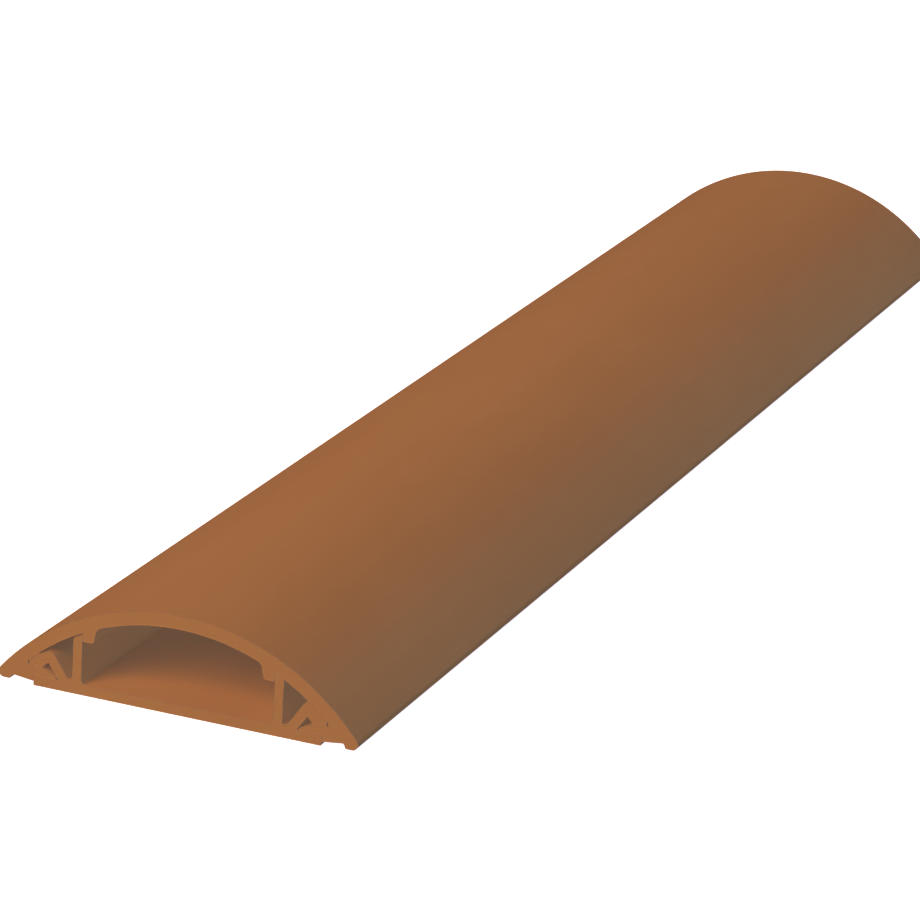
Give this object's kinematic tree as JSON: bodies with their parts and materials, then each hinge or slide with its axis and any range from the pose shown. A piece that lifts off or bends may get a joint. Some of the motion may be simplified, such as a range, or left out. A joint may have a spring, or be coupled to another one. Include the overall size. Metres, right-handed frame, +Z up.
{
  "type": "cable protector ramp",
  "caption": "Half-round floor cable cover: a flat base channel with cable walls and side clips under an arched clip-fit cover with hooked feet.",
  "frame": {"origin": "middle of the base plate's underside, at floor level and half way along the length", "axes": "+X across the profile, +Y along the length, away from the end that faces the viewer, +Z up from the floor"},
  "size_m": [0.075, 0.375, 0.02],
  "materials": {
    "brown_plastic": "satin, extruded"
  },
  "bodies": {
    "base": {"base_channel": "brown_plastic"},
    "cover": {"snap_cover": "brown_plastic"}
  },
  "joints": [
    {"name": "cover_slide", "type": "slide", "parent": "base", "child": "cover", "axis": [0, 1, 0], "range_m": [-0.38, 0.38]}
  ]
}
